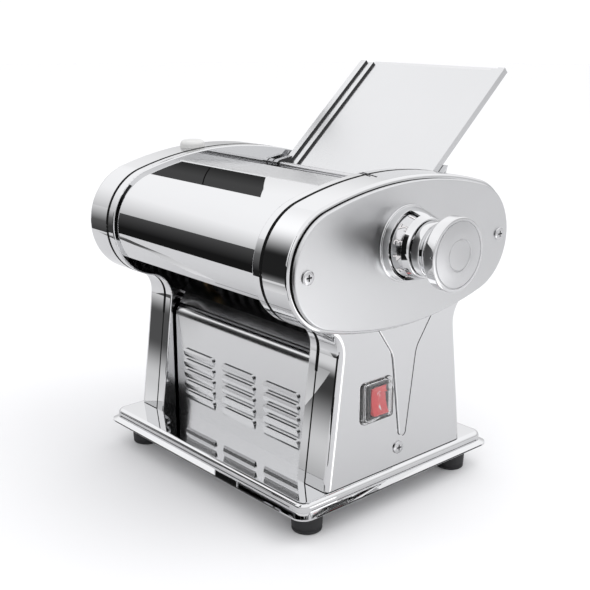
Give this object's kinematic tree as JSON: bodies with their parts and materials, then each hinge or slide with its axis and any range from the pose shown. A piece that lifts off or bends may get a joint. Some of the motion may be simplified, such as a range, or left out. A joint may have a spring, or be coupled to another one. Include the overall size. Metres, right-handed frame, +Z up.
{
  "type": "electric pasta maker",
  "caption": "Electric countertop pasta maker with geared dough and cutter rollers, a pull-and-turn thickness dial, a booted rocker switch and a folding feed tray.",
  "frame": {"origin": "On the table under the middle of the overall bounding box: half-way between the left end cap and the knob face, and half-way between the front of the head and the back edge of the feed tray.", "axes": "+X runs along the rollers towards the dial and switch side, +Y runs from the noodle exit at the front to the feed tray at the back, +Z is up from the table."},
  "size_m": [0.2886, 0.2647, 0.3028],
  "materials": {
    "mirror_steel": "polished stainless steel sheet",
    "satin_steel": "satin stainless steel",
    "roller_steel": "hard chromed roller steel",
    "gear_steel": "plain cut gear steel",
    "screw_steel": "plated screws",
    "cast_alloy": "cast aluminium",
    "polished_alloy": "polished cast aluminium",
    "satin_alloy": "satin cast aluminium",
    "bronze": "sintered bronze",
    "black_seal": "black rubber seal",
    "black_rubber": "black rubber",
    "black_plastic": "black plastic",
    "red_plastic": "red translucent plastic",
    "white_plastic": "white nylon",
    "clear_boot": "clear soft vinyl",
    "motor_steel": "painted motor can"
  },
  "bodies": {
    "machine": {"base_pan": "mirror_steel", "base_bottom_plate": "satin_steel", "feet": "black_rubber", "foot_screws": "screw_steel", "left_side_plate": "polished_alloy", "right_side_plate": "polished_alloy", "left_gasket": "black_seal", "right_gasket": "black_seal", "left_shell": "mirror_steel", "right_shell": "mirror_steel", "left_cap_seal": "black_seal", "right_cap_seal": "black_seal", "left_end_cap": "satin_alloy", "right_end_cap": "satin_alloy", "left_housing_screws": "screw_steel", "right_housing_screws": "screw_steel", "oil_plug": "white_plastic", "roller_bushes": "bronze", "idler_stud": "gear_steel", "adjuster_bush": "bronze", "dial_collar": "mirror_steel", "switch_housing": "black_plastic", "switch_boot": "clear_boot", "front_cover": "mirror_steel", "top_plate": "satin_steel", "rear_cover": "mirror_steel", "chute_plate": "mirror_steel", "motor_panel": "mirror_steel", "rear_panel": "satin_steel", "power_inlet": "black_plastic", "inlet_pins": "screw_steel", "tray_rod": "screw_steel", "sheet_guide": "satin_steel", "rear_scraper": "white_plastic", "motor": "motor_steel", "gearbox": "cast_alloy", "motor_saddle": "cast_alloy", "tie_rods": "gear_steel"},
    "feed_tray_body": {"feed_tray": "satin_steel"},
    "adjuster": {"adjuster_cam": "gear_steel", "number_drum": "mirror_steel"},
    "knob": {"thickness_knob": "mirror_steel"},
    "carriage": {"left_bearing_block": "cast_alloy", "right_bearing_block": "cast_alloy", "carriage_bar": "gear_steel", "front_scraper": "white_plastic"},
    "front_roller": {"front_dough_roller": "roller_steel", "front_roller_gear": "gear_steel"},
    "rear_roller": {"rear_dough_roller": "roller_steel", "rear_roller_gear": "gear_steel", "drive_gear": "white_plastic"},
    "pinion": {"output_pinion": "gear_steel"},
    "idler": {"idler_gear": "white_plastic"},
    "lower_cutting_roller": {"lower_cutter": "roller_steel", "lower_cutter_gear": "gear_steel"},
    "upper_cutting_roller": {"upper_cutter": "roller_steel", "upper_cutter_gear": "gear_steel"},
    "rocker": {"power_rocker": "red_plastic"}
  },
  "joints": [
    {"name": "rear_roller_spin", "type": "hinge", "parent": "machine", "child": "rear_roller", "pos_m": [-0.02335, 0.01582, 0.1956], "axis": [1, 0, 0], "continuous": true},
    {"name": "front_roller_spin", "type": "hinge", "parent": "carriage", "child": "front_roller", "pos_m": [-0.02335, -0.02968, 0.1956], "axis": [1, 0, 0], "continuous": true},
    {"name": "output_pinion_spin", "type": "hinge", "parent": "machine", "child": "pinion", "pos_m": [-0.11335, 0.00657, 0.15054], "axis": [1, 0, 0], "continuous": true},
    {"name": "idler_spin", "type": "hinge", "parent": "machine", "child": "idler", "pos_m": [-0.11335, -0.02567, 0.14352], "axis": [1, 0, 0], "continuous": true},
    {"name": "lower_cutter_spin", "type": "hinge", "parent": "machine", "child": "lower_cutting_roller", "pos_m": [-0.02335, -0.05768, 0.16], "axis": [1, 0, 0], "continuous": true},
    {"name": "upper_cutter_spin", "type": "hinge", "parent": "machine", "child": "upper_cutting_roller", "pos_m": [-0.02335, -0.07476, 0.17708], "axis": [1, 0, 0], "continuous": true},
    {"name": "thickness_dial", "type": "hinge", "parent": "machine", "child": "adjuster", "pos_m": [0.09675, -0.02968, 0.1956], "axis": [1, 0, 0], "range_deg": [0, 270]},
    {"name": "roller_gap", "type": "slide", "parent": "machine", "child": "carriage", "axis": [0, -1, 0], "range_m": [0, 0.0025]},
    {"name": "knob_pull", "type": "slide", "parent": "adjuster", "child": "knob", "axis": [1, 0, 0], "range_m": [0, 0.004]},
    {"name": "power_switch", "type": "hinge", "parent": "machine", "child": "rocker", "pos_m": [0.08805, -0.04728, 0.0852], "axis": [0, 1, 0], "range_deg": [0, 16]},
    {"name": "feed_tray_fold", "type": "hinge", "parent": "machine", "child": "feed_tray_body", "pos_m": [-0.02335, 0.02582, 0.221], "axis": [1, 0, 0], "range_deg": [0, 128]}
  ],
  "couplings": [
    {"joint": "front_roller_spin", "follows": "rear_roller_spin", "ratio": -1},
    {"joint": "output_pinion_spin", "follows": "rear_roller_spin", "ratio": -2.8333},
    {"joint": "idler_spin", "follows": "rear_roller_spin", "ratio": 1.619},
    {"joint": "lower_cutter_spin", "follows": "rear_roller_spin", "ratio": -2.2667},
    {"joint": "upper_cutter_spin", "follows": "rear_roller_spin", "ratio": 2.2667},
    {"joint": "thickness_dial", "follows": "roller_gap", "rad_per_m": 1885}
  ]
}
